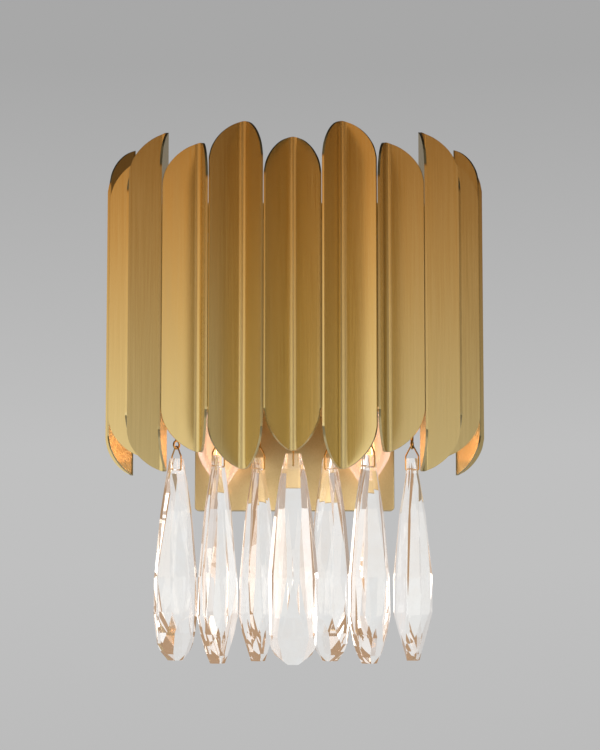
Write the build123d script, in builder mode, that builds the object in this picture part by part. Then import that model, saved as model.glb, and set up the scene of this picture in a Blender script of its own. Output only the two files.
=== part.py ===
from build123d import *

import os
from math import cos, degrees, hypot, radians, sin, sqrt, tan

os.makedirs("parts", exist_ok=True)

# Crystal wall sconce, in millimetres. +Z is up and -Y points away from the wall. The origin lies on
# the wall, in the middle of the two slots that hold the mounting strap to its wall box.

# ---------------------------------------------------------------- driving dimensions
# Leaves: strips of brass sheet, folded along the middle, round half a circle
LEAF_COUNT = 11
LEAF_SPREAD = 180.0  # degrees shared by the leaves
LEAF_EDGE_RADIUS = 150.2  # from the ring's axis to the outer corner of a free edge
LEAF_GAP = 0.4  # between the free edges of neighbours
LEAF_SHEET = 1.8
LEAF_FOLD = 84.0  # angle between the two wings
LEAF_BEND_RADIUS = 5.0
LONG_LEAF = 262.5
SHORT_LEAF = 236.0
LEAF_END = 33.0  # height of the rounded end
LEAF_END_POWER = 1.4  # 2 would make the end half an ellipse, less makes it more pointed
LEAF_END_STEPS = (0.0, 0.12, 0.3, 0.5, 0.7, 0.85, 0.95, 0.99, 1.0)  # shares of the wing's width
LEAF_CENTRE_Z = 34.0
EXTENSION = 165.0  # from the wall to the foremost leaf edge

# Hoops: flat bar bent to a D, one over the other, with the leaves studded on
HOOP_THICKNESS = 2.5
HOOP_WIDTH = 12.0
HOOP_BEND_RADIUS = 3.5
HOOP_SEAT = 0.2  # clearance between the hoop and the backs of the creases
HOOP_LEG = 34.0  # how far the legs reach in from the pan's sides
HOOP_SCREW_INSET = (26.0, 10.0)  # of the leg screws, from the pan's sides
UPPER_HOOP_Z = 96.0
LOWER_HOOP_Z = -44.0

# Weld studs and nuts of the leaves
STUD_RADIUS = 1.5
STUD_LENGTH = 8.6
STUD_CLEARANCE = 0.2
STUD_NUT_WIDTH = 5.5
STUD_NUT_HEIGHT = 2.2

# Wall pan
PAN_WIDTH = 160.0
PAN_HEIGHT = 250.0
PAN_DEPTH = 20.0
PAN_WALL = 1.2
PAN_CORNER = 3.0
PAN_EDGE = 0.8

# Screws and nuts that hold the hoops and the carrier to the pan
SCREW_RADIUS = 2.0
SCREW_CLEARANCE = 0.25
SCREW_HEAD_RADIUS = 3.6
SCREW_HEAD_HEIGHT = 2.4
SCREW_LENGTH = 9.0
NUT_WIDTH = 7.0
NUT_HEIGHT = 3.2
THREAD_CLEARANCE = 0.05  # threads are drawn plain, this far apart

# Mounting strap and what fixes it
STRAP_LENGTH = 112.0
STRAP_WIDTH = 22.0
STRAP_THICKNESS = 1.5
SLOT_SPACING = 88.9
SLOT_LENGTH = 14.0
SLOT_WIDTH = 4.8
STRAP_WIRE_HOLE = 6.0
STRAP_STUD_X = 28.0
CAP_NUT_WIDTH = 8.0
CAP_NUT_HEX = 4.5
CAP_NUT_DOME = 3.6
CAP_NUT_BORE = 6.5
EARTH_SCREW_X = 14.0

# Electrical parts inside the pan
BLOCK_LENGTH = 36.0
BLOCK_HEIGHT = 16.0
BLOCK_DEPTH = 15.0
BLOCK_WELL_RADIUS = 2.2
BLOCK_WELL_DEPTH = 6.0
BLOCK_WELL_PITCH = 11.0
LEAD_RADIUS = 2.0
LEAD_BEHIND = 5.0  # how far in front of the wall the leads run
LEAD_BEND = 7.0

# Lamps: two arms out of the pan, turned down, with a candle bulb pointing down from each
LAMP_X = 57.0
LAMP_Y = -50.0
ARM_Z = 50.0
ARM_RADIUS = 5.0
ARM_WALL = 1.0
ARM_BEND = 20.0
ARM_TAIL = 7.0  # threaded end inside the pan's front
ARM_COLLAR_RADIUS = 9.0
ARM_COLLAR_HEIGHT = 2.0
ARM_NUT_WIDTH = 14.0
ARM_NUT_HEIGHT = 3.0
CUP_TOP_Z = 14.0
CUP_RADIUS = 15.0
CUP_HEIGHT = 40.0
CUP_WALL = 1.0
CUP_SHOULDER_SEAT = 0.1  # how far the cup's flat top reaches past the lampholder
HOLDER_RADIUS = 11.5
HOLDER_LENGTH = 45.0
HOLDER_MOUTH_DEPTH = 20.0
HOLDER_NECK_DEPTH = 6.0
BUSHING_FLANGE = 1.0
BUSHING_LENGTH = 6.0
BUSHING_BORE = 2.5

# Candle bulb on a 12 mm screw cap
BULB_BELOW_HOLDER = 4.0
BULB_LENGTH = 74.0
BULB_RADIUS = 19.5
BULB_NECK = 6.4
BULB_GLASS = 0.8
# the candle shape: (share of the length below the base, share of the radius)
BULB_OUTLINE = ((0.17, 0.58), (0.34, 0.89), (0.50, 1.0), (0.65, 0.91), (0.81, 0.57))
BULB_TIP = (0.965, 0.2)
BULB_NECK_SLOPE = 0.3  # how far the neck's side leans out, to one down
CAP_RADIUS = 5.95
CAP_LENGTH = 16.0
CAP_WALL = 0.5
CAP_CONTACT_RADIUS = 2.5
CAP_CONTACT_HEIGHT = 1.5
CAP_CLEARANCE = 0.35
STEM_RADIUS = 2.6
STEM_LENGTH = 16.0
FILAMENT_WIRE = 0.4
FILAMENT_DROP = 30.0
FILAMENT_SPREAD = 4.5

# Crystal carrier: a flat plate under the lower hoop
CARRIER_SHEET = 2.0
CARRIER_ARC = 78.0  # half angle of the arc band
CARRIER_BAND = 12.0
CARRIER_TONGUE = 68.0
CARRIER_SPOKE = 12.0
CARRIER_SPOKE_LEAVES = (2, 4, 6, 8, 10)
CARRIER_FLANGE = 16.0
CARRIER_SCREW_X = 20.0

# Crystals: seven drops, five on an arc and two behind
DROP_RADIUS = 98.0
DROP_STEP = 36.0  # degrees between the drops of the arc
INNER_DROP_X = 28.0
INNER_DROP_Y = -55.0
# in order from the left: the turn of each crystal's broad face away from the front, in degrees
DROP_TURNS = (47.0, 65.0, 68.0, 0.0, -49.0, 56.0, 74.0)
DROP_HANG = 43.5  # from the carrier down to the pins
CRYSTAL_LENGTH = 158.0
CRYSTAL_HOLE_BELOW_TOP = 9.0
CRYSTAL_HOLE_CLEARANCE = 0.08
# the cut crystal: (half width, share of the length above its bottom)
BROAD_OUTLINE = (
    (4.0, 0.0), (13.9, 0.0475), (17.1, 0.086), (18.0, 0.228), (19.0, 0.405), (15.0, 0.677), (10.2, 0.886)
)
BROAD_NECK = 5.7
THIN_OUTLINE = (
    (4.2, 0.0), (5.0, 0.038), (9.3, 0.137), (14.6, 0.24), (16.0, 0.405), (13.6, 0.538), (9.5, 0.734),
    (4.2, 0.924)
)
THIN_NECK = 4.0
SIDE_FACET_OUTLINE = ((5.3, 0.0), (14.3, 0.0475), (16.3, 0.089), (17.2, 0.405), (13.6, 0.677), (9.6, 0.886))
SIDE_FACET_NECK = 5.6
FRONT_FACET_OUTLINE = ((5.5, 0.0), (12.4, 0.139), (15.2, 0.228), (14.5, 0.405), (10.1, 0.734), (5.4, 0.924))
FRONT_FACET_NECK = 4.9
FACET_TURN = 25.0  # turn of the slanted facets from the broad and the thin direction

# Bails and eye pins
BAIL_WIRE = 0.6
BAIL_HALF_WIDTH = 5.2
BAIL_SHOULDER = 11.0  # height of the straight legs above the pin
BAIL_APEX = 20.7  # height of the point where the slanted legs would meet
BAIL_CORNER = 1.0
BAIL_SHOULDER_BEND = 2.0
EYE_WIRE = 0.8
EYE_RADIUS = 3.0
EYE_CLEARANCE = 0.35
EYE_SHANK = 1.25
EYE_SHANK_CLEARANCE = 0.1
EYE_COLLAR_RADIUS = 2.6
EYE_COLLAR_HEIGHT = 1.0
EYE_NUT_WIDTH = 5.0
EYE_NUT_HEIGHT = 2.0
THREAD_END = 1.0  # length of thread that stands past a nut

# ---------------------------------------------------------------- worked out from them
PITCH = LEAF_SPREAD / LEAF_COUNT
HALF_FOLD = radians(LEAF_FOLD / 2)
BACK_CORNER = (LEAF_EDGE_RADIUS * tan(radians(PITCH / 2)) - LEAF_GAP / 2, -LEAF_EDGE_RADIUS)
FRONT_CORNER = (
    BACK_CORNER[0] - LEAF_SHEET * cos(HALF_FOLD),
    BACK_CORNER[1] - LEAF_SHEET * sin(HALF_FOLD),
)
RING_CENTRE_Y = -(EXTENSION + FRONT_CORNER[1])
SHARP_CREASE_RADIUS = -FRONT_CORNER[1] - FRONT_CORNER[0] / tan(HALF_FOLD)
BEND_CENTRE_RADIUS = SHARP_CREASE_RADIUS + LEAF_BEND_RADIUS / sin(HALF_FOLD)
CREASE_BACK_RADIUS = BEND_CENTRE_RADIUS - LEAF_BEND_RADIUS - LEAF_SHEET
HOOP_RADIUS = CREASE_BACK_RADIUS - HOOP_SEAT
HOOP_INNER_RADIUS = HOOP_RADIUS - HOOP_THICKNESS
PAN_FRONT = -PAN_DEPTH
PAN_INSIDE = PAN_FRONT + PAN_WALL
HOOP_LEG_END = PAN_WIDTH / 2 - HOOP_LEG
HOOP_SCREW_X = tuple(PAN_WIDTH / 2 - inset for inset in HOOP_SCREW_INSET)
CARRIER_Z = LOWER_HOOP_Z - HOOP_WIDTH / 2
CARRIER_TOP_Z = CARRIER_Z + CARRIER_SHEET
PIN_Z = CARRIER_Z - DROP_HANG
CRYSTAL_BOTTOM_Z = PIN_Z + CRYSTAL_HOLE_BELOW_TOP - CRYSTAL_LENGTH
CRYSTAL_REACH = 2 * max(width for width, share in BROAD_OUTLINE)
BAIL_LOOP_RADIUS = BAIL_WIRE + EYE_WIRE + EYE_CLEARANCE
BAIL_SLANT = hypot(BAIL_HALF_WIDTH, BAIL_APEX - BAIL_SHOULDER) / BAIL_HALF_WIDTH
EYE_WIRE_Z = PIN_Z + BAIL_APEX - BAIL_LOOP_RADIUS * BAIL_SLANT
HOLDER_TOP_Z = CUP_TOP_Z - CUP_WALL
HOLDER_MOUTH_Z = HOLDER_TOP_Z - HOLDER_LENGTH
BULB_BASE_Z = HOLDER_MOUTH_Z - BULB_BELOW_HOLDER
LEAD_END_Z = HOLDER_TOP_Z - HOLDER_NECK_DEPTH
CUP_SHOULDER = CUP_RADIUS - HOLDER_RADIUS - CUP_SHOULDER_SEAT
ARM_BORE = ARM_RADIUS - ARM_WALL
BLOCK_Y = PAN_INSIDE + BLOCK_DEPTH / 2
FLANGE_SCREW_Z = CARRIER_TOP_Z + (CARRIER_FLANGE - CARRIER_SHEET) / 2

ON_WALL = Plane.XZ  # its normal points away from the wall
TO_THE_FRONT = (0, -1, 0)
FROM_BASE = (Align.CENTER, Align.CENTER, Align.MIN)


def keep(piece, name):
    """Label a finished piece and write it."""
    piece.part.label = name
    export_step(piece.part, f"parts/{name}.step")


def ring_plane(azimuth, height):
    """A level plane on the leaves' axis, its -y pointing outwards at this angle from the front."""
    turn = radians(azimuth)
    return Plane(origin=(0, RING_CENTRE_Y, height), x_dir=(cos(turn), sin(turn), 0), z_dir=(0, 0, 1))


def inward_plane(azimuth, radius, height):
    """A plane on a radius of the leaves' ring, its normal pointing at the ring's axis."""
    turn = radians(azimuth)
    outward = Vector(sin(turn), -cos(turn), 0)
    origin = Vector(0, RING_CENTRE_Y, height) + outward * radius
    return Plane(origin=origin, x_dir=(0, 0, 1), z_dir=outward * -1)


def leaf_azimuth(number):
    return (number - (LEAF_COUNT + 1) / 2) * PITCH


def drop_places():
    """Where each crystal hangs, from the left: (x, y)."""
    steps = (-2, -1, 0, 1, 2)
    arc = [ring_plane(DROP_STEP * step, 0).from_local_coords((0, -DROP_RADIUS, 0)) for step in steps]
    outer = [(place.X, place.Y) for place in arc]
    inner = [(-INNER_DROP_X, INNER_DROP_Y), (INNER_DROP_X, INNER_DROP_Y)]
    return outer[:2] + inner[:1] + outer[2:3] + inner[1:] + outer[3:]


# ---------------------------------------------------------------- leaves
def half_leaf_section(plane):
    """One wing and half of the bend, seen along the crease."""
    bend = (0, -BEND_CENTRE_RADIUS)
    start = degrees(HALF_FOLD)
    with BuildSketch(plane) as section:
        with BuildLine():
            front = CenterArc(bend, LEAF_BEND_RADIUS, start, 90 - start)
            back = CenterArc(bend, LEAF_BEND_RADIUS + LEAF_SHEET, start, 90 - start)
            Line(front @ 0, FRONT_CORNER)
            Line(FRONT_CORNER, BACK_CORNER)
            Line(BACK_CORNER, back @ 0)
            Line(back @ 1, front @ 1)
        make_face()
    return section


def wing_plane(plane):
    """The middle of one wing's sheet, x running from the crease to the free edge, y up."""
    along = plane.x_dir * sin(HALF_FOLD) - plane.y_dir * cos(HALF_FOLD)
    crease = plane.from_local_coords((0, -CREASE_BACK_RADIUS - LEAF_SHEET / 2, 0))
    return Plane(origin=crease, x_dir=along, z_dir=along.cross(Vector(0, 0, 1)))


def leaf(number):
    length = LONG_LEAF if number % 2 else SHORT_LEAF
    plane = ring_plane(leaf_azimuth(number), LEAF_CENTRE_Z)
    wing = wing_plane(plane)
    free_edge = wing.to_local_coords(plane.from_local_coords((*FRONT_CORNER, 0))).X
    straight = length / 2 - LEAF_END
    rounding = [
        (share * free_edge, straight + LEAF_END * sqrt(1 - share**LEAF_END_POWER)) for share in LEAF_END_STEPS
    ]
    with BuildPart() as piece:
        extrude(half_leaf_section(plane).sketch, amount=length / 2, both=True)
        with BuildSketch(wing):
            with BuildLine():
                upper = Spline(*rounding, tangents=((1, 0), (0, -1)))
                lower = Spline(*((x, -z) for x, z in rounding), tangents=((1, 0), (0, 1)))
                Line(upper @ 1, lower @ 1)
                Polyline(upper @ 0, (-LEAF_SHEET, length / 2), (-LEAF_SHEET, -length / 2), lower @ 0)
            make_face()
        extrude(amount=LEAF_BEND_RADIUS + LEAF_SHEET, both=True, mode=Mode.INTERSECT)
        mirror(about=Plane(origin=plane.origin, x_dir=plane.y_dir, z_dir=plane.x_dir))
    return piece


for number in range(1, LEAF_COUNT + 1):
    keep(leaf(number), f"leaf_{number:02d}")


# ---------------------------------------------------------------- hoops, leaf studs and nuts
def stud_places():
    """Every leaf's two studs: (leaf number, azimuth, height)."""
    numbers = range(1, LEAF_COUNT + 1)
    return [(n, leaf_azimuth(n), z) for z in (UPPER_HOOP_Z, LOWER_HOOP_Z) for n in numbers]


def hoop(height):
    plane = ring_plane(0, height)
    rear = PAN_FRONT - RING_CENTRE_Y
    with BuildPart() as piece:
        with BuildSketch(plane) as band:
            Circle(HOOP_RADIUS)
            with Locations((0, rear - HOOP_RADIUS)):
                Rectangle(2 * HOOP_RADIUS, 2 * HOOP_RADIUS, mode=Mode.INTERSECT)
            fillet(band.vertices(), HOOP_BEND_RADIUS + HOOP_THICKNESS)
            offset(amount=-HOOP_THICKNESS, mode=Mode.SUBTRACT)
            with Locations((0, rear)):
                Rectangle(2 * HOOP_LEG_END, 4 * HOOP_THICKNESS, mode=Mode.SUBTRACT)
        extrude(amount=HOOP_WIDTH / 2, both=True)
        studs = [inward_plane(a, HOOP_RADIUS, z) for n, a, z in stud_places() if z == height]
        with Locations(*studs):
            Cylinder(STUD_RADIUS + STUD_CLEARANCE, 4 * HOOP_THICKNESS, mode=Mode.SUBTRACT)
        with BuildSketch(ON_WALL.offset(PAN_DEPTH)):
            with Locations(*[(side * x, height) for side in (-1, 1) for x in HOOP_SCREW_X]):
                Circle(SCREW_RADIUS + SCREW_CLEARANCE)
        extrude(amount=HOOP_THICKNESS, mode=Mode.SUBTRACT)
    return piece


keep(hoop(UPPER_HOOP_Z), "upper_hoop")
keep(hoop(LOWER_HOOP_Z), "lower_hoop")

with BuildPart() as leaf_studs:
    with Locations(*[inward_plane(azimuth, CREASE_BACK_RADIUS, z) for _, azimuth, z in stud_places()]):
        Cylinder(STUD_RADIUS, STUD_LENGTH, align=FROM_BASE)
keep(leaf_studs, "leaf_studs")


def nut_radius(number, height):
    """Where a leaf nut bears: on the hoop, or on the carrier's lug where there is one."""
    on_lug = height == LOWER_HOOP_Z and number in CARRIER_SPOKE_LEAVES
    bearing = HOOP_INNER_RADIUS - CARRIER_SHEET * on_lug
    sagitta = STUD_NUT_WIDTH**2 / (6 * bearing)
    return bearing - sagitta


def hexagon_nut(place, width, height, bore):
    """A plain nut standing on a plane."""
    with BuildSketch(place) as outline:
        RegularPolygon(width / 2, 6, major_radius=False)
        Circle(bore, mode=Mode.SUBTRACT)
    extrude(outline.sketch, amount=height)


with BuildPart() as leaf_nuts:
    for number, azimuth, z in stud_places():
        seat = inward_plane(azimuth, nut_radius(number, z), z)
        hexagon_nut(seat, STUD_NUT_WIDTH, STUD_NUT_HEIGHT, STUD_RADIUS + THREAD_CLEARANCE)
keep(leaf_nuts, "leaf_nuts")

# ---------------------------------------------------------------- wall pan and its fasteners
HOOP_SCREWS = [(side * x, z) for z in (UPPER_HOOP_Z, LOWER_HOOP_Z) for side in (-1, 1) for x in HOOP_SCREW_X]
CARRIER_SCREWS = [(side * CARRIER_SCREW_X, FLANGE_SCREW_Z) for side in (-1, 1)]

with BuildPart() as wall_plate:
    with BuildSketch(ON_WALL):
        RectangleRounded(PAN_WIDTH, PAN_HEIGHT, PAN_CORNER)
    extrude(amount=PAN_DEPTH)
    fillet(wall_plate.faces().sort_by(Axis.Y)[0].edges(), PAN_EDGE)
    with BuildSketch(ON_WALL):
        RectangleRounded(PAN_WIDTH - 2 * PAN_WALL, PAN_HEIGHT - 2 * PAN_WALL, PAN_CORNER - PAN_WALL)
    extrude(amount=PAN_DEPTH - PAN_WALL, mode=Mode.SUBTRACT)
    with BuildSketch(ON_WALL.offset(PAN_DEPTH)):
        with Locations(*HOOP_SCREWS, *CARRIER_SCREWS, (-STRAP_STUD_X, 0), (STRAP_STUD_X, 0)):
            Circle(SCREW_RADIUS + SCREW_CLEARANCE)
        with Locations((-LAMP_X, ARM_Z), (LAMP_X, ARM_Z)):
            Circle(ARM_RADIUS + THREAD_CLEARANCE)
    extrude(amount=-PAN_WALL, mode=Mode.SUBTRACT)
keep(wall_plate, "wall_plate")


def screw_plane(place, bearing):
    """Where a screw's head bears, its normal pointing along the shank to the wall."""
    x, z = place
    return Plane(origin=(x, bearing, z), x_dir=(1, 0, 0), z_dir=(0, 1, 0))


SCREW_SEATS = [screw_plane(place, PAN_FRONT - HOOP_THICKNESS) for place in HOOP_SCREWS]
SCREW_SEATS += [screw_plane(place, PAN_FRONT - CARRIER_SHEET) for place in CARRIER_SCREWS]

with BuildPart() as frame_screws:
    for seat in SCREW_SEATS:
        with Locations(seat):
            Cylinder(SCREW_RADIUS, SCREW_LENGTH, align=FROM_BASE)
            Cylinder(SCREW_HEAD_RADIUS, SCREW_HEAD_HEIGHT, align=(Align.CENTER, Align.CENTER, Align.MAX))
    rims = frame_screws.edges().filter_by(GeomType.CIRCLE).filter_by(lambda e: e.radius == SCREW_HEAD_RADIUS)
    outer_rims = rims.filter_by(lambda e: e.center().Y < PAN_FRONT - HOOP_THICKNESS - SCREW_HEAD_HEIGHT / 2)
    fillet(outer_rims, SCREW_HEAD_HEIGHT / 3)
keep(frame_screws, "frame_screws")

with BuildPart() as frame_nuts:
    for x, z in HOOP_SCREWS + CARRIER_SCREWS:
        hexagon_nut(screw_plane((x, z), PAN_INSIDE), NUT_WIDTH, NUT_HEIGHT, SCREW_RADIUS + THREAD_CLEARANCE)
keep(frame_nuts, "frame_nuts")

# ---------------------------------------------------------------- mounting strap
with BuildPart() as mounting_strap:
    with BuildSketch(ON_WALL):
        Rectangle(STRAP_LENGTH, STRAP_WIDTH)
        with Locations((-SLOT_SPACING / 2, 0), (SLOT_SPACING / 2, 0)):
            SlotOverall(SLOT_LENGTH, SLOT_WIDTH, mode=Mode.SUBTRACT)
        with Locations((-STRAP_STUD_X, 0), (STRAP_STUD_X, 0), (EARTH_SCREW_X, 0)):
            Circle(SCREW_RADIUS + THREAD_CLEARANCE, mode=Mode.SUBTRACT)
        Circle(STRAP_WIRE_HOLE, mode=Mode.SUBTRACT)
    extrude(amount=STRAP_THICKNESS)
keep(mounting_strap, "mounting_strap")

STRAP_STUD_LENGTH = PAN_DEPTH + CAP_NUT_BORE - THREAD_END
with BuildPart() as strap_studs:
    with BuildSketch(ON_WALL):
        with Locations((-STRAP_STUD_X, 0), (STRAP_STUD_X, 0)):
            Circle(SCREW_RADIUS)
    extrude(amount=STRAP_STUD_LENGTH)
keep(strap_studs, "strap_studs")

with BuildPart() as cap_nuts:
    with BuildSketch(ON_WALL.offset(PAN_DEPTH)):
        with Locations((-STRAP_STUD_X, 0), (STRAP_STUD_X, 0)):
            RegularPolygon(CAP_NUT_WIDTH / 2, 6, major_radius=False)
    extrude(amount=CAP_NUT_HEX)
    with Locations(*[(side * STRAP_STUD_X, PAN_FRONT - CAP_NUT_HEX, 0) for side in (-1, 1)]):
        Sphere(CAP_NUT_DOME)
    with BuildSketch(ON_WALL.offset(PAN_DEPTH)):
        with Locations((-STRAP_STUD_X, 0), (STRAP_STUD_X, 0)):
            Circle(SCREW_RADIUS + THREAD_CLEARANCE)
    extrude(amount=CAP_NUT_BORE, mode=Mode.SUBTRACT)
keep(cap_nuts, "cap_nuts")

with BuildPart() as earth_screw:
    with BuildSketch(ON_WALL):
        with Locations((EARTH_SCREW_X, 0)):
            Circle(SCREW_RADIUS)
    extrude(amount=STRAP_THICKNESS)
    with BuildSketch(ON_WALL.offset(STRAP_THICKNESS)):
        with Locations((EARTH_SCREW_X, 0)):
            RegularPolygon(SCREW_HEAD_RADIUS, 6)
    extrude(amount=SCREW_HEAD_HEIGHT)
keep(earth_screw, "earth_screw")

# ---------------------------------------------------------------- terminal block, leads and bushings
with BuildPart() as terminal_block:
    with Locations((0, BLOCK_Y, ARM_Z)):
        Box(BLOCK_LENGTH, BLOCK_DEPTH, BLOCK_HEIGHT)
    with Locations(*[(i * BLOCK_WELL_PITCH, BLOCK_Y + BLOCK_DEPTH / 2, ARM_Z) for i in (-1, 0, 1)]):
        Cylinder(BLOCK_WELL_RADIUS, 2 * BLOCK_WELL_DEPTH, rotation=(90, 0, 0), mode=Mode.SUBTRACT)
keep(terminal_block, "terminal_block")


def lamp_lead(side):
    """From the block along the wall, through the arm's bend and down into the lampholder."""
    x = side * LAMP_X
    with BuildLine() as route:
        FilletPolyline(
            (side * BLOCK_LENGTH / 2, -LEAD_BEHIND, ARM_Z),
            (x, -LEAD_BEHIND, ARM_Z),
            (x, LAMP_Y, ARM_Z),
            (x, LAMP_Y, LEAD_END_Z),
            radius=[LEAD_BEND, ARM_BEND],
        )
    with BuildSketch(Plane(origin=route.wire() @ 0, z_dir=route.wire() % 0)) as section:
        Circle(LEAD_RADIUS)
    sweep(section.sketch, path=route.wire())


with BuildPart() as lamp_leads:
    for side in (-1, 1):
        lamp_lead(side)
keep(lamp_leads, "lamp_leads")

ARM_START = PAN_INSIDE + ARM_TAIL
with BuildPart() as lead_bushings:
    for x in (-LAMP_X, LAMP_X):
        with BuildSketch(Plane(origin=(x, ARM_START + BUSHING_FLANGE, ARM_Z), z_dir=TO_THE_FRONT)):
            Circle(ARM_RADIUS)
            Circle(BUSHING_BORE, mode=Mode.SUBTRACT)
        extrude(amount=BUSHING_FLANGE)
        with BuildSketch(Plane(origin=(x, ARM_START, ARM_Z), z_dir=TO_THE_FRONT)):
            Circle(ARM_BORE - THREAD_CLEARANCE)
            Circle(BUSHING_BORE, mode=Mode.SUBTRACT)
        extrude(amount=BUSHING_LENGTH - BUSHING_FLANGE)
keep(lead_bushings, "lead_bushings")

with BuildPart() as arm_nuts:
    for side in (-1, 1):
        seat = screw_plane((side * LAMP_X, ARM_Z), PAN_INSIDE)
        hexagon_nut(seat, ARM_NUT_WIDTH, ARM_NUT_HEIGHT, ARM_RADIUS + THREAD_CLEARANCE)
keep(arm_nuts, "arm_nuts")


# ---------------------------------------------------------------- lamps
def collar(plane, height):
    """A ring round the arm."""
    with BuildSketch(plane) as ring:
        Circle(ARM_COLLAR_RADIUS)
        Circle((ARM_RADIUS + ARM_BORE) / 2, mode=Mode.SUBTRACT)
    extrude(ring.sketch, amount=height)


def lamp_arm(x):
    """A tube from the pan to the cup, with a quarter bend and two collars."""
    with BuildPart() as piece:
        with BuildLine() as route:
            FilletPolyline(
                (x, ARM_START, ARM_Z),
                (x, LAMP_Y, ARM_Z),
                (x, LAMP_Y, LEAD_END_Z + THREAD_END),
                radius=ARM_BEND,
            )
        with BuildSketch(Plane(origin=route.wire() @ 0, z_dir=route.wire() % 0)):
            Circle(ARM_RADIUS)
            Circle(ARM_BORE, mode=Mode.SUBTRACT)
        sweep(path=route.wire())
        collar(Plane(origin=(x, PAN_FRONT, ARM_Z), z_dir=TO_THE_FRONT), ARM_COLLAR_HEIGHT)
        collar(Plane(origin=(x, LAMP_Y, CUP_TOP_Z)), ARM_COLLAR_HEIGHT)
    return piece


def socket_cup(x):
    """A spun cup over the lampholder, open below."""
    with BuildPart() as piece:
        with Locations((x, LAMP_Y, CUP_TOP_Z)):
            Cylinder(CUP_RADIUS, CUP_HEIGHT, align=(Align.CENTER, Align.CENTER, Align.MAX))
        fillet(piece.edges().sort_by(Axis.Z)[-1], CUP_SHOULDER)
        offset(amount=-CUP_WALL, openings=piece.faces().sort_by(Axis.Z)[0])
        with Locations((x, LAMP_Y, CUP_TOP_Z)):
            Cylinder(ARM_RADIUS + THREAD_CLEARANCE, 4 * CUP_WALL, mode=Mode.SUBTRACT)
    return piece


def lampholder(x):
    """A moulded holder with a mouth for the screw cap below and a neck for the arm above."""
    with BuildPart() as piece:
        with Locations((x, LAMP_Y, HOLDER_MOUTH_Z)):
            Cylinder(HOLDER_RADIUS, HOLDER_LENGTH, align=FROM_BASE)
            Cylinder(CAP_RADIUS + CAP_CLEARANCE, HOLDER_MOUTH_DEPTH, align=FROM_BASE, mode=Mode.SUBTRACT)
        with Locations((x, LAMP_Y, LEAD_END_Z)):
            Cylinder(ARM_RADIUS + THREAD_CLEARANCE, HOLDER_NECK_DEPTH, align=FROM_BASE, mode=Mode.SUBTRACT)
    return piece


def bulb_outline(wall):
    """Half of the candle's outline on x and y, drawn in from the glass's outside by the wall."""
    low, narrow = BULB_TIP
    Spline(
        (BULB_NECK - wall, 0),
        *((reach * BULB_RADIUS - wall, -down * BULB_LENGTH) for down, reach in BULB_OUTLINE),
        (narrow * BULB_RADIUS - wall / 2, -low * BULB_LENGTH + wall / 2),
        (0, -BULB_LENGTH + wall),
        tangents=((BULB_NECK_SLOPE, -1), (-1, 0)),
    )
    Line((0, -BULB_LENGTH + wall), (0, 0))
    Line((0, 0), (BULB_NECK - wall, 0))


def bulb_glass(x):
    """A hollow candle envelope with the stem that carries the filament."""
    section_plane = Plane(origin=(x, LAMP_Y, BULB_BASE_Z), x_dir=(1, 0, 0), z_dir=TO_THE_FRONT)
    axis = Axis((x, LAMP_Y, 0), (0, 0, 1))
    with BuildPart() as piece:
        with BuildSketch(section_plane):
            with BuildLine():
                bulb_outline(0)
            make_face()
        revolve(axis=axis)
        with BuildSketch(section_plane):
            with BuildLine():
                bulb_outline(BULB_GLASS)
            make_face()
        revolve(axis=axis, mode=Mode.SUBTRACT)
        with Locations((x, LAMP_Y, BULB_BASE_Z)):
            Cylinder(BULB_NECK - BULB_GLASS / 2, BULB_GLASS, align=(Align.CENTER, Align.CENTER, Align.MAX))
            Cylinder(STEM_RADIUS, STEM_LENGTH, align=(Align.CENTER, Align.CENTER, Align.MAX))
    return piece


def bulb_cap(x):
    """The screw cap: a thin shell with its contact on top."""
    with BuildPart() as piece:
        with Locations((x, LAMP_Y, BULB_BASE_Z)):
            Cylinder(CAP_RADIUS, CAP_LENGTH, align=FROM_BASE)
            Cylinder(CAP_CONTACT_RADIUS, CAP_LENGTH + CAP_CONTACT_HEIGHT, align=FROM_BASE)
            Cylinder(CAP_RADIUS - CAP_WALL, CAP_LENGTH - CAP_WALL, align=FROM_BASE, mode=Mode.SUBTRACT)
    return piece


def filament(x):
    """The support wires and the burning wire between their ends, as one bent wire."""
    top = BULB_BASE_Z - STEM_LENGTH
    foot = STEM_RADIUS - 2 * FILAMENT_WIRE
    with BuildPart() as piece:
        with BuildLine() as route:
            FilletPolyline(
                (x - foot, LAMP_Y, top),
                (x - FILAMENT_SPREAD, LAMP_Y, top - FILAMENT_DROP),
                (x + FILAMENT_SPREAD, LAMP_Y, top - FILAMENT_DROP),
                (x + foot, LAMP_Y, top),
                radius=2 * FILAMENT_WIRE,
            )
        with BuildSketch(Plane(origin=route.wire() @ 0, z_dir=route.wire() % 0)):
            Circle(FILAMENT_WIRE)
        sweep(path=route.wire())
        with BuildSketch(Plane.XY.offset(top)):
            with Locations((x, LAMP_Y)):
                Rectangle(4 * FILAMENT_SPREAD, 4 * FILAMENT_SPREAD)
        extrude(amount=FILAMENT_SPREAD, mode=Mode.SUBTRACT)
    return piece


LAMP_PIECES = {
    "lamp_arm": lamp_arm,
    "socket_cup": socket_cup,
    "lampholder": lampholder,
    "bulb_glass": bulb_glass,
    "bulb_cap": bulb_cap,
    "filament": filament,
}
for side, x in (("left", -LAMP_X), ("right", LAMP_X)):
    for kind, make in LAMP_PIECES.items():
        keep(make(x), f"{side}_{kind}")

# ---------------------------------------------------------------- crystal carrier
SPOKE_AZIMUTHS = [leaf_azimuth(number) for number in CARRIER_SPOKE_LEAVES]
BAND_INNER = DROP_RADIUS - CARRIER_BAND / 2
BAND_OUTER = DROP_RADIUS + CARRIER_BAND / 2
TONGUE_REAR = PAN_FRONT - RING_CENTRE_Y

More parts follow.
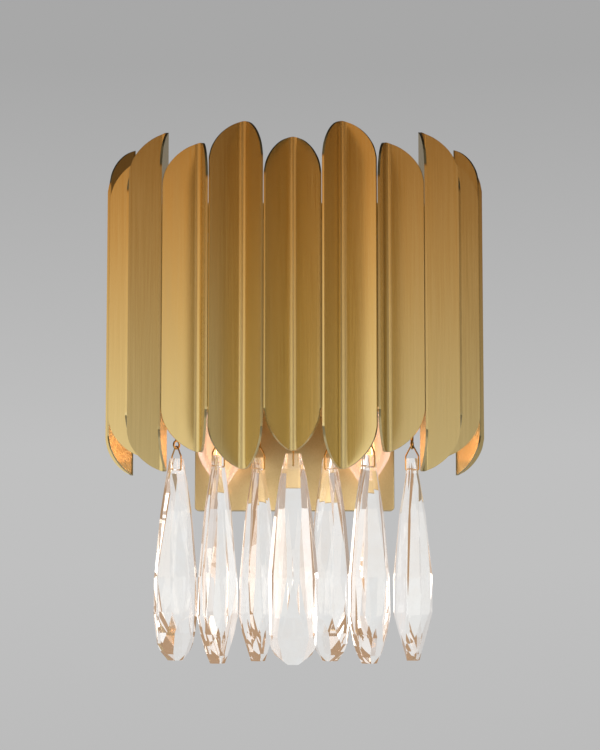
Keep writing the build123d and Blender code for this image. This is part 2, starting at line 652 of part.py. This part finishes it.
with BuildPart() as crystal_carrier:
    with BuildSketch(ring_plane(0, CARRIER_Z)):
        with BuildLine():
            outer = CenterArc((0, 0), BAND_OUTER, -90 - CARRIER_ARC, 2 * CARRIER_ARC)
            inner = CenterArc((0, 0), BAND_INNER, -90 - CARRIER_ARC, 2 * CARRIER_ARC)
            Line(outer @ 0, inner @ 0)
            Line(outer @ 1, inner @ 1)
        make_face()
        with Locations((0, TONGUE_REAR)):
            Rectangle(CARRIER_TONGUE, DROP_RADIUS + TONGUE_REAR, align=(Align.CENTER, Align.MAX))
        for azimuth in SPOKE_AZIMUTHS:
            with Locations(Location((0, 0), azimuth)):
                with Locations((0, -DROP_RADIUS)):
                    Rectangle(
                        CARRIER_SPOKE,
                        HOOP_INNER_RADIUS - DROP_RADIUS - CARRIER_SHEET / 2,
                        align=(Align.CENTER, Align.MAX),
                    )
    extrude(amount=CARRIER_SHEET)
    for azimuth in SPOKE_AZIMUTHS:
        half_width = degrees(CARRIER_SPOKE / 2 / HOOP_INNER_RADIUS)
        with BuildSketch(ring_plane(azimuth, CARRIER_Z)):
            with BuildLine():
                face = CenterArc((0, 0), HOOP_INNER_RADIUS, -90 - half_width, 2 * half_width)
                back = CenterArc((0, 0), HOOP_INNER_RADIUS - CARRIER_SHEET, -90 - half_width, 2 * half_width)
                Line(face @ 0, back @ 0)
                Line(face @ 1, back @ 1)
            make_face()
        extrude(amount=HOOP_WIDTH)
        with Locations(inward_plane(azimuth, HOOP_INNER_RADIUS, LOWER_HOOP_Z)):
            Cylinder(STUD_RADIUS + STUD_CLEARANCE, 4 * CARRIER_SHEET, mode=Mode.SUBTRACT)
    with BuildSketch(ON_WALL.offset(PAN_DEPTH)):
        with Locations((0, CARRIER_Z)):
            Rectangle(CARRIER_TONGUE, CARRIER_FLANGE, align=(Align.CENTER, Align.MIN))
    extrude(amount=CARRIER_SHEET)
    with BuildSketch(ON_WALL.offset(PAN_DEPTH)):
        with Locations(*CARRIER_SCREWS):
            Circle(SCREW_RADIUS + SCREW_CLEARANCE)
    extrude(amount=CARRIER_SHEET, mode=Mode.SUBTRACT)
    with BuildSketch(Plane.XY.offset(CARRIER_Z)):
        with Locations(*drop_places()):
            Circle(EYE_SHANK + EYE_SHANK_CLEARANCE)
    extrude(amount=CARRIER_SHEET, mode=Mode.SUBTRACT)
keep(crystal_carrier, "crystal_carrier")


# ---------------------------------------------------------------- crystals, bails and eye pins
def facet_plane(place, turn):
    """An upright plane through a crystal's axis, its x turned by this angle from the front."""
    along = Vector(cos(radians(turn)), sin(radians(turn)), 0)
    return Plane(origin=(*place, CRYSTAL_BOTTOM_Z), x_dir=along, z_dir=along.cross(Vector(0, 0, 1)))


def facets(place, turn, outline, neck):
    """Cut a pair of opposite rows of facets, whose half widths the outline gives."""
    right = [*((width, share * CRYSTAL_LENGTH) for width, share in outline), (neck, CRYSTAL_LENGTH)]
    left = [(-width, height) for width, height in reversed(right)]
    with BuildSketch(facet_plane(place, turn)) as face:
        Polygon(*right, *left, align=None)
    extrude(face.sketch, amount=CRYSTAL_REACH, both=True, mode=Mode.INTERSECT)


def crystal(place, turn):
    with BuildPart() as piece:
        with Locations((*place, CRYSTAL_BOTTOM_Z)):
            Box(CRYSTAL_REACH, CRYSTAL_REACH, CRYSTAL_LENGTH, rotation=(0, 0, turn), align=FROM_BASE)
        facets(place, turn, BROAD_OUTLINE, BROAD_NECK)
        facets(place, turn + 90, THIN_OUTLINE, THIN_NECK)
        for slant in (-FACET_TURN, FACET_TURN):
            facets(place, turn + slant, SIDE_FACET_OUTLINE, SIDE_FACET_NECK)
            facets(place, turn + 90 + slant, FRONT_FACET_OUTLINE, FRONT_FACET_NECK)
        with BuildSketch(facet_plane(place, turn)):
            with Locations((0, PIN_Z - CRYSTAL_BOTTOM_Z)):
                Circle(BAIL_WIRE + CRYSTAL_HOLE_CLEARANCE)
        extrude(amount=2 * THIN_NECK, both=True, mode=Mode.SUBTRACT)
    return piece


def bail(place, turn):
    """One wire: the pin through the neck, two legs, and the bend that hangs on the eye."""
    across = facet_plane(place, turn + 90)

    def at(sideways, above_pin):
        return across.from_local_coords((sideways, PIN_Z - CRYSTAL_BOTTOM_Z + above_pin, 0))

    with BuildPart() as piece:
        with BuildLine() as route:
            FilletPolyline(
                at(-BAIL_HALF_WIDTH, 0),
                at(BAIL_HALF_WIDTH, 0),
                at(BAIL_HALF_WIDTH, BAIL_SHOULDER),
                at(0, BAIL_APEX),
                at(-BAIL_HALF_WIDTH, BAIL_SHOULDER),
                radius=[BAIL_CORNER, BAIL_CORNER, BAIL_SHOULDER_BEND, BAIL_LOOP_RADIUS, BAIL_SHOULDER_BEND],
                close=True,
            )
        with BuildSketch(Plane(origin=route.wire() @ 0, z_dir=route.wire() % 0)):
            Circle(BAIL_WIRE)
        sweep(path=route.wire())
    return piece


for number, (place, turn) in enumerate(zip(drop_places(), DROP_TURNS), start=1):
    keep(crystal(place, turn), f"crystal_{number}")
    keep(bail(place, turn), f"bail_{number}")

with BuildPart() as drop_eyes:
    for place, turn in zip(drop_places(), DROP_TURNS):
        ring_top = EYE_WIRE_Z + 2 * EYE_RADIUS
        shank_end = CARRIER_TOP_Z + EYE_NUT_HEIGHT + THREAD_END
        across = facet_plane(place, turn + 90).x_dir
        with Locations(Plane(origin=(*place, EYE_WIRE_Z + EYE_RADIUS), z_dir=across)):
            Torus(EYE_RADIUS, EYE_WIRE)
        with Locations((*place, ring_top)):
            Cylinder(EYE_SHANK, shank_end - ring_top, align=FROM_BASE)
        with Locations((*place, CARRIER_Z)):
            Cylinder(EYE_COLLAR_RADIUS, EYE_COLLAR_HEIGHT, align=(Align.CENTER, Align.CENTER, Align.MAX))
keep(drop_eyes, "drop_eyes")

with BuildPart() as eye_nuts:
    for place in drop_places():
        hexagon_nut(
            Plane(origin=(*place, CARRIER_TOP_Z)), EYE_NUT_WIDTH, EYE_NUT_HEIGHT, EYE_SHANK + THREAD_CLEARANCE
        )
keep(eye_nuts, "eye_nuts")
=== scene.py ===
# %% [markdown]
# # A crystal wall sconce
# The real lamp is a half circle of eleven folded brass leaves on two flat hoops, with two candle bulbs
# inside and seven cut crystals that hang below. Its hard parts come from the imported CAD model, so this
# lesson is about what those parts are made of, how soft light falls on them, and the round pieces that are
# smoothed here.

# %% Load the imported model
from math import radians

import bmesh
import bpy
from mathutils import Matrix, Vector


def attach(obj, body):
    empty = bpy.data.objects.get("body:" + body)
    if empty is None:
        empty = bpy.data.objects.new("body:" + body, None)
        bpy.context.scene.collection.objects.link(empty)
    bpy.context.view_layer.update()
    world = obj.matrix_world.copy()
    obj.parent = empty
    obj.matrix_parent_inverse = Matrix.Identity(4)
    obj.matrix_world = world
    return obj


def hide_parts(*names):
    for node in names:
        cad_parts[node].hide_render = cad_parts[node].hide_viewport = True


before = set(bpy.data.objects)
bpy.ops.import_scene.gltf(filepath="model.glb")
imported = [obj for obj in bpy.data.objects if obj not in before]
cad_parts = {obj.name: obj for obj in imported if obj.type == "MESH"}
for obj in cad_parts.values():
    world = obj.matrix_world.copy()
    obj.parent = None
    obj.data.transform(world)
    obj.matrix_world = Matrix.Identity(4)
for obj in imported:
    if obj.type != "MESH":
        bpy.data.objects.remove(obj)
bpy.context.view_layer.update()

MM = 0.001

# %% [markdown]
# ## The camera
# The photograph was taken from a little below the lamp and just right of its middle, 1.6 m away. At that
# distance the tops of the side leaves, which stand further back, drop visibly below those of the front
# leaves. The place was found by matching leaf tips, the back plate's corners and the crystal tips. Tilting
# the camera up, instead of shifting its lens, keeps the framing in every view.

# %% The camera
SENSOR = 36.0
LENS = 93.955
CAMERA_PLACE = (0.01715, -1.59097, -0.16889)
CAMERA_TILT = 95.57
CAMERA_YAW = 0.466

camera_data = bpy.data.cameras.new("photo_camera")
camera_data.lens = LENS
camera_data.sensor_width = SENSOR
camera_data.sensor_fit = "AUTO"
camera = bpy.data.objects.new("photo_camera", camera_data)
camera.location = CAMERA_PLACE
camera.rotation_euler = (radians(CAMERA_TILT), 0, radians(CAMERA_YAW))
bpy.context.collection.objects.link(camera)
bpy.context.scene.camera = camera
print("camera at", CAMERA_PLACE, "m with a", LENS, "mm lens")

# %% [markdown]
# ## Colours and nodes
# Colours are written as the sRGB hex values that a screen shows, but the shader works in linear light, so
# one function converts them. A second small function adds a node together with its settings and links,
# which keeps every material a short list.

# %% Colours and nodes
def linear(hex_colour):
    """The linear RGBA of an sRGB hex colour."""
    shown = [int(hex_colour[i:i + 2], 16) / 255 for i in (1, 3, 5)]
    return (*(c / 12.92 if c <= 0.04045 else ((c + 0.055) / 1.055) ** 2.4 for c in shown), 1.0)


def add(tree, kind, values=None, links=None, **settings):
    """Adds a node; values are set on its sockets, links feed its sockets, settings are its own."""
    node = tree.nodes.new(kind)
    for name, value in settings.items():
        setattr(node, name, value)
    for name, value in (values or {}).items():
        node.inputs[name].default_value = value
    for name, source in (links or {}).items():
        tree.links.new(source, node.inputs[name])
    return node


print("linear mid grey:", round(linear("#808080")[0], 3))

# %% [markdown]
# ## The studio
# Light brass and clear crystal show what stands around them more than what they are. Three colour sweeps
# make up that surrounding: the plain grey backdrop, the height of the room behind the camera (white low
# down, dim and warm above, so that every leaf shades from orange to pale gold) and the bearing round the
# room (soft boxes left and right of the camera, dark sides), which is what makes neighbouring leaf wings
# differ. The camera itself only sees the backdrop, from whatever side it looks: grey paper, brightest level
# with the lamp's lower half. These colours belong to the light and not to the brass, so under plain light
# the leaves are plain pale brass.

# %% What stands around the lamp
BACKDROP = (  # height of the line of sight, and the grey seen there
    (-0.30, "#B2B2B2"),
    (0.00, "#C0C0C0"),
    (0.06, "#C0C0C0"),
    (0.25, "#A8A8A8"),
)
STUDIO = (  # the same for the room round the lamp
    (-0.40, "#6E6658"),
    (-0.16, "#8E8676"),
    (-0.05, "#FFF9EC"),
    (0.035, "#FFFCEC"),
    (0.08, "#F4E8D2"),
    (0.12, "#E6CC9E"),
    (0.16, "#DEAE70"),
    (0.20, "#C88E4C"),
    (0.25, "#8E5E2C"),
    (0.32, "#64503A"),
    (0.46, "#5A5650"),
)
WALLS = (  # bearing in degrees from straight ahead, and the share of the room's light there
    (-180, "#D8D8D8"),
    (-173, "#B4B4B4"),
    (-164, "#6C6C6C"),
    (-155, "#BCBCBC"),
    (-147, "#E0E0E0"),
    (-132, "#D6D6D6"),
    (-120, "#F0F0F0"),
    (-96, "#C0C0C0"),
    (-70, "#808080"),
    (-45, "#565656"),
    (45, "#505050"),
    (70, "#5A5A5A"),
    (96, "#787878"),
    (118, "#A8A8A8"),
    (130, "#808080"),
    (141, "#7C7C7C"),
    (150, "#FFFFFF"),
    (157, "#F4F4F4"),
    (165, "#707070"),
    (173, "#C0C0C0"),
    (180, "#D8D8D8"),
)
ROOM_LIGHT = 1.6
SOFT_LIGHT = 0.45
AHEAD = (0.95, 0.82)  # the sideways reach of the backdrop, where it blends into the room
THROUGH_CRYSTAL = ("#D2DADE", "#D6DCE0")  # stands for the backdrop and the room, seen through glass

world = bpy.data.worlds.new("studio")
bpy.context.scene.world = world
world.use_nodes = True
tree = world.node_tree
tree.nodes.clear()
sight = add(tree, "ShaderNodeTexCoord")
split = add(tree, "ShaderNodeSeparateXYZ", links={0: sight.outputs["Generated"]})
bearing = add(
    tree, "ShaderNodeMath", links={0: split.outputs["X"], 1: split.outputs["Y"]}, operation="ARCTAN2"
)
turned = add(tree, "ShaderNodeMath", links={0: bearing.outputs[0]}, operation="DEGREES")
rays = add(tree, "ShaderNodeLightPath")


def sweep(source, stops):
    """Colours over one coordinate of the line of sight."""
    first, last = stops[0][0], stops[-1][0]
    share = add(tree, "ShaderNodeMapRange", {"From Min": first, "From Max": last}, {"Value": source})
    ramp = add(tree, "ShaderNodeValToRGB", links={"Fac": share.outputs["Result"]})
    while len(ramp.color_ramp.elements) < len(stops):
        ramp.color_ramp.elements.new(0.5)
    for stop, (place, colour) in zip(ramp.color_ramp.elements, stops):
        stop.position = (place - first) / (last - first)
        stop.color = linear(colour)
    return ramp.outputs["Color"]


backdrop = sweep(split.outputs["Z"], BACKDROP)
heights = sweep(split.outputs["Z"], STUDIO)
bearings = sweep(turned.outputs[0], WALLS)
tinted = add(
    tree, "ShaderNodeMix", {0: 1.0}, {6: heights, 7: bearings}, data_type="RGBA", blend_type="MULTIPLY"
)
room = add(tree, "ShaderNodeVectorMath", {"Scale": ROOM_LIGHT}, {0: tinted.outputs[2]}, operation="SCALE")
through = rays.outputs["Is Transmission Ray"]
clear_backdrop = add(
    tree, "ShaderNodeMix", {7: linear(THROUGH_CRYSTAL[0])}, {0: through, 6: backdrop}, data_type="RGBA"
)
clear_room = add(
    tree, "ShaderNodeMix", {7: linear(THROUGH_CRYSTAL[1])}, {0: through, 6: room.outputs[0]}, data_type="RGBA"
)
sideways = add(
    tree, "ShaderNodeMapRange", {"From Min": AHEAD[0], "From Max": AHEAD[1]}, {"Value": split.outputs["Y"]},
    interpolation_type="SMOOTHSTEP"
)
not_to_camera = add(
    tree, "ShaderNodeMath", links={0: sideways.outputs["Result"], 1: rays.outputs["Is Camera Ray"]},
    operation="SUBTRACT", use_clamp=True
)
around = add(
    tree, "ShaderNodeMix",
    links={0: not_to_camera.outputs[0], 6: clear_backdrop.outputs[2], 7: clear_room.outputs[2]},
    data_type="RGBA"
)
print("a sweep of", len(STUDIO), "heights and", len(WALLS), "bearings")

# %% [markdown]
# ## Which rays see the studio
# The camera sees the backdrop, and reflections see the backdrop and the room. Rays that have passed through
# glass see a paler grey instead, which brightens the crystals more than this backdrop would. All other rays
# get a plain soft light, so that matt surfaces are lit evenly.

# %% Which rays see it
camera_or_gloss = add(
    tree, "ShaderNodeMath", links={0: rays.outputs["Is Camera Ray"], 1: rays.outputs["Is Glossy Ray"]},
    operation="MAXIMUM"
)
shown = add(tree, "ShaderNodeMath", links={0: camera_or_gloss.outputs[0], 1: through}, operation="MAXIMUM")
soft = add(tree, "ShaderNodeBackground", {"Color": linear("#E8E8E8"), "Strength": SOFT_LIGHT})
seen = add(tree, "ShaderNodeBackground", {"Strength": 1.0}, {"Color": around.outputs[2]})
either = add(tree, "ShaderNodeMixShader", links={0: shown.outputs[0], 1: soft.outputs[0], 2: seen.outputs[0]})
add(tree, "ShaderNodeOutputWorld", links={"Surface": either.outputs[0]})
bpy.context.scene.view_settings.view_transform = "Standard"
print("soft light of", SOFT_LIGHT)

# %% [markdown]
# ## Studio lights
# Three large soft panels light what is matt: the lampholders, the leads and the floor. They are hidden from
# reflections, because the world already shows the metal what it should reflect.

# %% Studio lights
LIGHTS = {  # place, size in metres, power in watts, colour
    "front_panel": ((0.0, -2.6, -0.75), (3.0, 1.7), 26.0, "#FFF6EA"),
    "left_panel": ((-2.0, -0.9, 0.1), (1.4, 2.2), 20.0, "#FFFFFF"),
    "right_panel": ((2.0, -1.2, 0.0), (1.4, 2.2), 16.0, "#FFF2E2"),
}
AIM = Vector((0, -0.08, -0.03))

for name, (place, size, power, colour) in LIGHTS.items():
    lamp = bpy.data.lights.new(name, "AREA")
    lamp.shape = "RECTANGLE"
    lamp.size, lamp.size_y = size
    lamp.energy = power
    lamp.color = linear(colour)[:3]
    holder = bpy.data.objects.new(name, lamp)
    holder.location = place
    holder.rotation_euler = (AIM - Vector(place)).to_track_quat("-Z", "Y").to_euler()
    holder.visible_glossy = False
    bpy.context.collection.objects.link(holder)
    print(name, "of", power, "W")

# %% [markdown]
# ## The light of the bulbs
# In the photograph both bulbs are dimmed to an orange glow, which colours the inner faces of the leaves and
# the plate behind them. A soft round light inside each bulb does that; the camera sees only the bulb round
# it.

# %% The light of the bulbs
BULB_MIDDLE = (0.057, -0.050, -0.078)
BULB_POWER = 0.022
BULB_GLOW = 0.018

for name, side in (("left_glow", -1), ("right_glow", 1)):
    lamp = bpy.data.lights.new(name, "POINT")
    lamp.energy = BULB_POWER
    lamp.shadow_soft_size = BULB_GLOW
    lamp.color = linear("#FFB07A")[:3]
    holder = bpy.data.objects.new(name, lamp)
    holder.location = (side * BULB_MIDDLE[0], BULB_MIDDLE[1], BULB_MIDDLE[2])
    holder.visible_camera = False
    holder.visible_transmission = False
    bpy.context.collection.objects.link(holder)
    print(name, "of", BULB_POWER, "W")

# %% [markdown]
# ## What the materials share
# Most finishes start alike: a named material with a Principled shader, and one noise, measured in
# millimetres on the object, that moves colour, gloss and relief together, as a real skin does. A noise
# stretched along one axis is the base of every brushed or drawn metal.

# %% What the materials share
NOISE_REACH = (0.3, 0.7)  # a noise seldom leaves these values


def new_material(name):
    """A named material with only its Principled shader and output; returns its tree and shader too."""
    material = bpy.data.materials.new(name)
    material.use_nodes = True
    tree = material.node_tree
    tree.nodes.clear()
    shader = add(tree, "ShaderNodeBsdfPrincipled")
    add(tree, "ShaderNodeOutputMaterial", links={"Surface": shader.outputs[0]})
    return material, tree, shader


def grained(tree, shader, grain, colours, roughness, relief, detail=3.0):
    """One noise feeds colour, roughness and bump; grain along x, y, z and relief are in mm."""
    where = add(tree, "ShaderNodeTexCoord")
    stretch = add(
        tree, "ShaderNodeMapping", {"Scale": [1 / (size * MM) for size in grain]},
        {"Vector": where.outputs["Object"]}
    )
    noise = add(
        tree, "ShaderNodeTexNoise", {"Scale": 1.0, "Detail": detail}, {"Vector": stretch.outputs["Vector"]}
    )
    ramp = add(tree, "ShaderNodeValToRGB", links={"Fac": noise.outputs["Fac"]})
    for stop, place, colour in zip(ramp.color_ramp.elements, NOISE_REACH, colours):
        stop.position = place
        stop.color = linear(colour)
    (low, high), (smooth, rough) = NOISE_REACH, roughness
    gloss = add(
        tree, "ShaderNodeMapRange", {"From Min": low, "From Max": high, "To Min": smooth, "To Max": rough},
        {"Value": noise.outputs["Fac"]}
    )
    bump = add(
        tree, "ShaderNodeBump", {"Strength": 0.3, "Distance": relief * MM}, {"Height": noise.outputs["Fac"]}
    )
    tree.links.new(ramp.outputs["Color"], shader.inputs["Base Color"])
    tree.links.new(gloss.outputs["Result"], shader.inputs["Roughness"])
    tree.links.new(bump.outputs["Normal"], shader.inputs["Normal"])


def dress(material, *names):
    """Gives the material to CAD nodes."""
    for name in names:
        for material_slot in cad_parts[name].material_slots:
            material_slot.material = material
    print(material.name, "on", ", ".join(names))


# %% [markdown]
# ## The floor
# The lamp hangs on a wall, and the photograph shows neither wall nor floor. A plain pale floor lies a good
# way below it, where it bounces light up into the crystals. Rolled studio paint is matt and faintly uneven,
# over patches about as wide as the roller.

# %% The floor
FLOOR_SIZE = 8.0
FLOOR_Z = -1.5

mesh = bpy.data.meshes.new("floor")
bm = bmesh.new()
bmesh.ops.create_grid(bm, x_segments=1, y_segments=1, size=FLOOR_SIZE / 2)
bmesh.ops.translate(bm, vec=(0, 0, FLOOR_Z), verts=bm.verts)
bm.to_mesh(mesh)
bm.free()
floor = bpy.data.objects.new("floor", mesh)
bpy.context.collection.objects.link(floor)
paint, tree, shader = new_material("matt_studio_paint")
grained(tree, shader, (250.0, 250.0, 250.0), ("#DADADA", "#E0E0E0"), (0.75, 0.85), 0.2)
floor.data.materials.append(paint)
print("floor", FLOOR_SIZE, "m square at", FLOOR_Z, "m")

# %% [markdown]
# ## Brushed brass
# The leaves are brass sheet, brushed lengthwise and lacquered. Brushing leaves fine upright scratches that
# spread a highlight sideways and keep it short along the leaf, so each leaf shades from dark to light in
# bands. Anisotropy does the spreading, and a stretched noise shows the scratches. Real brushing is about
# 0.2 mm wide, too fine for this picture, so it is drawn 1 mm wide.

# %% Brushed brass
brass, tree, shader = new_material("brushed_lacquered_brass")
grained(tree, shader, (1.0, 1.0, 70.0), ("#D8C694", "#E2D2A2"), (0.20, 0.26), 0.003, detail=4.0)
round_the_leaf = add(tree, "ShaderNodeTangent", direction_type="RADIAL", axis="Z")
tree.links.new(round_the_leaf.outputs["Tangent"], shader.inputs["Tangent"])
shader.inputs["Metallic"].default_value = 1.0
shader.inputs["Anisotropic"].default_value = 0.75
print(brass.name, "with anisotropy", shader.inputs["Anisotropic"].default_value)

# %% [markdown]
# ## Satin brass of the plate, arms and cups
# These pieces are brass too, but blasted instead of brushed and lacquered the same way. Blasting leaves
# round pits that spread a highlight evenly, so the flat plate looks smooth and a little paler than the
# leaves. The pits, about 0.1 mm across, are drawn 1.2 mm wide.

# %% Satin brass
satin, tree, shader = new_material("satin_lacquered_brass")
grained(tree, shader, (1.2, 1.2, 1.2), ("#DAC594", "#E2CE9F"), (0.30, 0.38), 0.01)
shader.inputs["Metallic"].default_value = 1.0
dress(
    satin, "wall_plate", "cap_nuts", "left_lamp_arm", "right_lamp_arm", "left_socket_cup", "right_socket_cup"
)

# %% [markdown]
# ## Gold enamel on the hidden frame
# The hoops and the crystal carrier are steel under a sprayed gold enamel. Spraying leaves an orange-peel
# skin with swells about 2 mm across. Its colour is deeper than bare brass and its shine is softer.

# %% Gold enamel
enamel, tree, shader = new_material("gold_enamel_on_steel")
grained(tree, shader, (2.0, 2.0, 2.0), ("#C8AC70", "#D2B87E"), (0.34, 0.42), 0.03, detail=2.0)
shader.inputs["Metallic"].default_value = 0.8
dress(enamel, "upper_hoop", "lower_hoop", "crystal_carrier")

# %% [markdown]
# ## Zinc-plated steel
# Screws, nuts, studs and the strap are plain zinc plate, a blue-grey metal whose small crystals, just under
# a millimetre across, give a cloudy gloss.

# %% Zinc plate
zinc, tree, shader = new_material("zinc_plated_steel")
grained(tree, shader, (0.8, 0.8, 0.8), ("#A9AEB2", "#CDD0D2"), (0.28, 0.46), 0.01, detail=4.0)
shader.inputs["Metallic"].default_value = 1.0
dress(
    zinc, "leaf_studs", "leaf_nuts", "frame_screws", "frame_nuts", "mounting_strap", "strap_studs",
    "arm_nuts", "eye_nuts"
)

# %% [markdown]
# ## The earth screw
# An earth screw is marked by a green chromate dip over its zinc. The dip is thin, so the metal still shines
# through it, with a haze about as fine as the zinc's own crystals.

# %% Green chromate
green, tree, shader = new_material("green_chromated_steel")
grained(tree, shader, (0.9, 0.9, 0.9), ("#3F7A4A", "#5D9A62"), (0.30, 0.45), 0.01)
shader.inputs["Metallic"].default_value = 1.0
dress(green, "earth_screw")

# %% [markdown]
# ## The electrical parts
# The terminal block is white polyamide, the bushings are black rubber, the leads have a silicone sleeve,
# and the lampholders are cream phenolic. Each is a dielectric with a fine moulded skin: phenolic comes out
# of a polished mould and shines most, rubber hardly at all.

# %% Plastics and rubber
PLASTICS = {  # colours low and high, roughness low and high, grain in mm, nodes
    "white_polyamide": ("#E4E2DC", "#F0EEE9", 0.42, 0.55, 0.8, ("terminal_block",)),
    "black_rubber": ("#17171A", "#26262A", 0.55, 0.75, 0.6, ("lead_bushings",)),
    "silicone_sleeve": ("#DAD7CF", "#ECE9E2", 0.38, 0.52, 0.5, ("lamp_leads",)),
    "cream_phenolic": ("#D9CDB2", "#E6DCC5", 0.30, 0.42, 1.5, ("left_lampholder", "right_lampholder")),
}
for name, (low, high, smooth, rough, size, worn_by) in PLASTICS.items():
    plastic, tree, shader = new_material(name)
    grained(tree, shader, (size, size, size), (low, high), (smooth, rough), 0.02)
    dress(plastic, *worn_by)

# %% [markdown]
# ## The bulbs' screw caps
# A screw cap is thin brass sheet, nickel plated. Screwing it in and out rubs fine lines along the thread,
# drawn here as grains flattened along the height.

# %% Nickel plate
nickel, tree, shader = new_material("nickel_plated_brass")
grained(tree, shader, (3.0, 3.0, 0.5), ("#B4B0A8", "#CFCBC2"), (0.18, 0.32), 0.005)
shader.inputs["Metallic"].default_value = 1.0
dress(nickel, "left_bulb_cap", "right_bulb_cap")

# %% [markdown]
# ## Lead crystal
# Cut crystal is polished until no grinding mark is left, so its facets are flat mirrors and its inside is
# clear. Lead raises its index of refraction to about 1.55, which makes the edges dark and the faces bright.
# Light that enters near the bulbs is caught between the facets and comes out warm at the tips; a trace of
# warm emission at every facet stands for it, because the longest of those paths are too long to follow.

# %% Lead crystal
DROPS = range(1, 8)

crystal, tree, shader = new_material("polished_lead_crystal")
grained(tree, shader, (9.0, 9.0, 9.0), ("#FCFAF8", "#FFFFFF"), (0.0, 0.01), 0.0002, detail=1.0)
shader.inputs["IOR"].default_value = 1.55
shader.inputs["Transmission Weight"].default_value = 1.0
shader.inputs["Emission Color"].default_value = linear("#FFCFA2")
shader.inputs["Emission Strength"].default_value = 0.065
dress(crystal, *(f"crystal_{n}" for n in DROPS))

# %% [markdown]
# ## Gold-plated wire
# The bails and eyes are brass wire, drawn and then gold plated bright. Drawing leaves faint lines along the
# wire, a fraction of a millimetre apart, that the plating does not quite fill.

# %% Gold-plated wire
gold_wire, tree, shader = new_material("gold_plated_wire")
grained(tree, shader, (0.4, 0.4, 4.0), ("#CFA45A", "#E3C078"), (0.14, 0.26), 0.004, detail=2.0)
shader.inputs["Metallic"].default_value = 1.0
dress(gold_wire, "drop_eyes", *(f"bail_{n}" for n in DROPS))

# %% [markdown]
# ## The bulbs
# A clear candle bulb is thin blown glass. Seen straight on it is nearly invisible, and towards its rim the
# line of sight runs longer through the wall, so the rim is what shows. Its pale pink glow is painted light:
# the glass itself emits it, standing for the filament's light caught in the glass.

# %% Bulb glass
RIM = (0.16, 0.85)  # opacity straight on and at the rim

bulb_glass, tree, shader = new_material("clear_soda_glass")
grained(tree, shader, (14.0, 14.0, 14.0), ("#FFF4EE", "#FFFAF6"), (0.0, 0.02), 0.001, detail=1.0)
facing = add(tree, "ShaderNodeLayerWeight", {"Blend": 0.35})
opacity = add(
    tree, "ShaderNodeMapRange", {"To Min": RIM[0], "To Max": RIM[1]}, {"Value": facing.outputs["Facing"]}
)
tree.links.new(opacity.outputs["Result"], shader.inputs["Alpha"])
shader.inputs["IOR"].default_value = 1.5
shader.inputs["Transmission Weight"].default_value = 1.0
# painted glow: a pale pink emission on the glass stands for the filament's light caught in it
shader.inputs["Emission Color"].default_value = linear("#FFD9C6")
shader.inputs["Emission Strength"].default_value = 0.30
dress(bulb_glass, "left_bulb_glass", "right_bulb_glass")

# %% [markdown]
# ## The filaments
# Tungsten glows where the current passes. At this dimmed setting it is a warm orange-white and the
# brightest thing in the lamp; the wire under the glow is a dark grey metal.

# %% Filament
glow, tree, shader = new_material("glowing_tungsten")
grained(tree, shader, (2.0, 2.0, 6.0), ("#5E5A54", "#76716A"), (0.35, 0.5), 0.005, detail=1.0)
shader.inputs["Metallic"].default_value = 1.0
shader.inputs["Emission Color"].default_value = linear("#FFC282")
shader.inputs["Emission Strength"].default_value = 8.0
dress(glow, "left_filament", "right_filament")

# %% [markdown]
# ## Smooth copies of the curved pieces
# The CAD mesh is loose triangles, each shaded flat. Where a surface is really round, as at a leaf's bend or
# along a wire, a copy with its points merged is shaded smooth with its sharp edges kept. Weighted normals
# keep the flat faces flat next to the round ones. A tiny bevel along sharp edges catches a line of light,
# as the cut edge of real sheet does.

# %% A merged, smooth copy
MERGE = 0.0005
BEVEL_STEPS = 2


def smooth_copy(node, body, material, sharp, bevel=0.0):
    """A merged copy of a CAD node that stands for it; sharp in degrees, bevel in mm."""
    bm = bmesh.new()
    bm.from_mesh(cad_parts[node].data)
    bmesh.ops.remove_doubles(bm, verts=bm.verts, dist=MERGE * MM)
    bmesh.ops.dissolve_degenerate(bm, dist=MERGE * MM, edges=bm.edges)
    if bevel:
        edges = [e for e in bm.edges if e.is_manifold and e.calc_face_angle() > radians(sharp)]
        bmesh.ops.bevel(
            bm, geom=edges, offset=bevel * MM, offset_type="OFFSET", affect="EDGES", segments=BEVEL_STEPS,
            profile=0.5, material=-1, clamp_overlap=True
        )
    mesh = bpy.data.meshes.new(node + "_dressed")
    bm.to_mesh(mesh)
    bm.free()
    mesh.shade_smooth()
    mesh.set_sharp_from_angle(angle=radians(sharp))
    mesh.materials.clear()
    mesh.materials.append(material)
    piece = bpy.data.objects.new(node + "_dressed", mesh)
    bpy.context.collection.objects.link(piece)
    weighted = piece.modifiers.new("flat_faces_stay_flat", "WEIGHTED_NORMAL")
    weighted.keep_sharp = True
    weighted.weight = 100
    bpy.context.view_layer.update()
    graph = bpy.context.evaluated_depsgraph_get()
    applied = bpy.data.meshes.new_from_object(
        piece.evaluated_get(graph), preserve_all_data_layers=True, depsgraph=graph
    )
    piece.modifiers.clear()
    piece.data = applied
    bpy.data.meshes.remove(mesh)
    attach(piece, body)
    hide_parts(node)
    print(piece.name, len(applied.polygons), "faces")


# %% [markdown]
# ## The leaves
# Sheet brass is sheared and its edges are broken by a quarter of a millimetre, so that they can be handled.

# %% Leaves
for number in range(1, 12):
    smooth_copy(f"leaf_{number:02d}", "fixture", brass, sharp=50.0, bevel=0.25)

# %% [markdown]
# ## The round pieces
# Bulbs, cups, arms, bails and eyes are blown, spun or bent round, so they are smoothed without a bevel.

# %% Round pieces
for side in ("left", "right"):
    smooth_copy(f"{side}_bulb_glass", f"{side}_bulb", bulb_glass, sharp=40.0)
    smooth_copy(f"{side}_lamp_arm", "fixture", satin, sharp=30.0)
    smooth_copy(f"{side}_socket_cup", "fixture", satin, sharp=30.0)
for number in DROPS:
    smooth_copy(f"bail_{number}", f"bail_{number}", gold_wire, sharp=40.0)
smooth_copy("drop_eyes", "fixture", gold_wire, sharp=40.0)
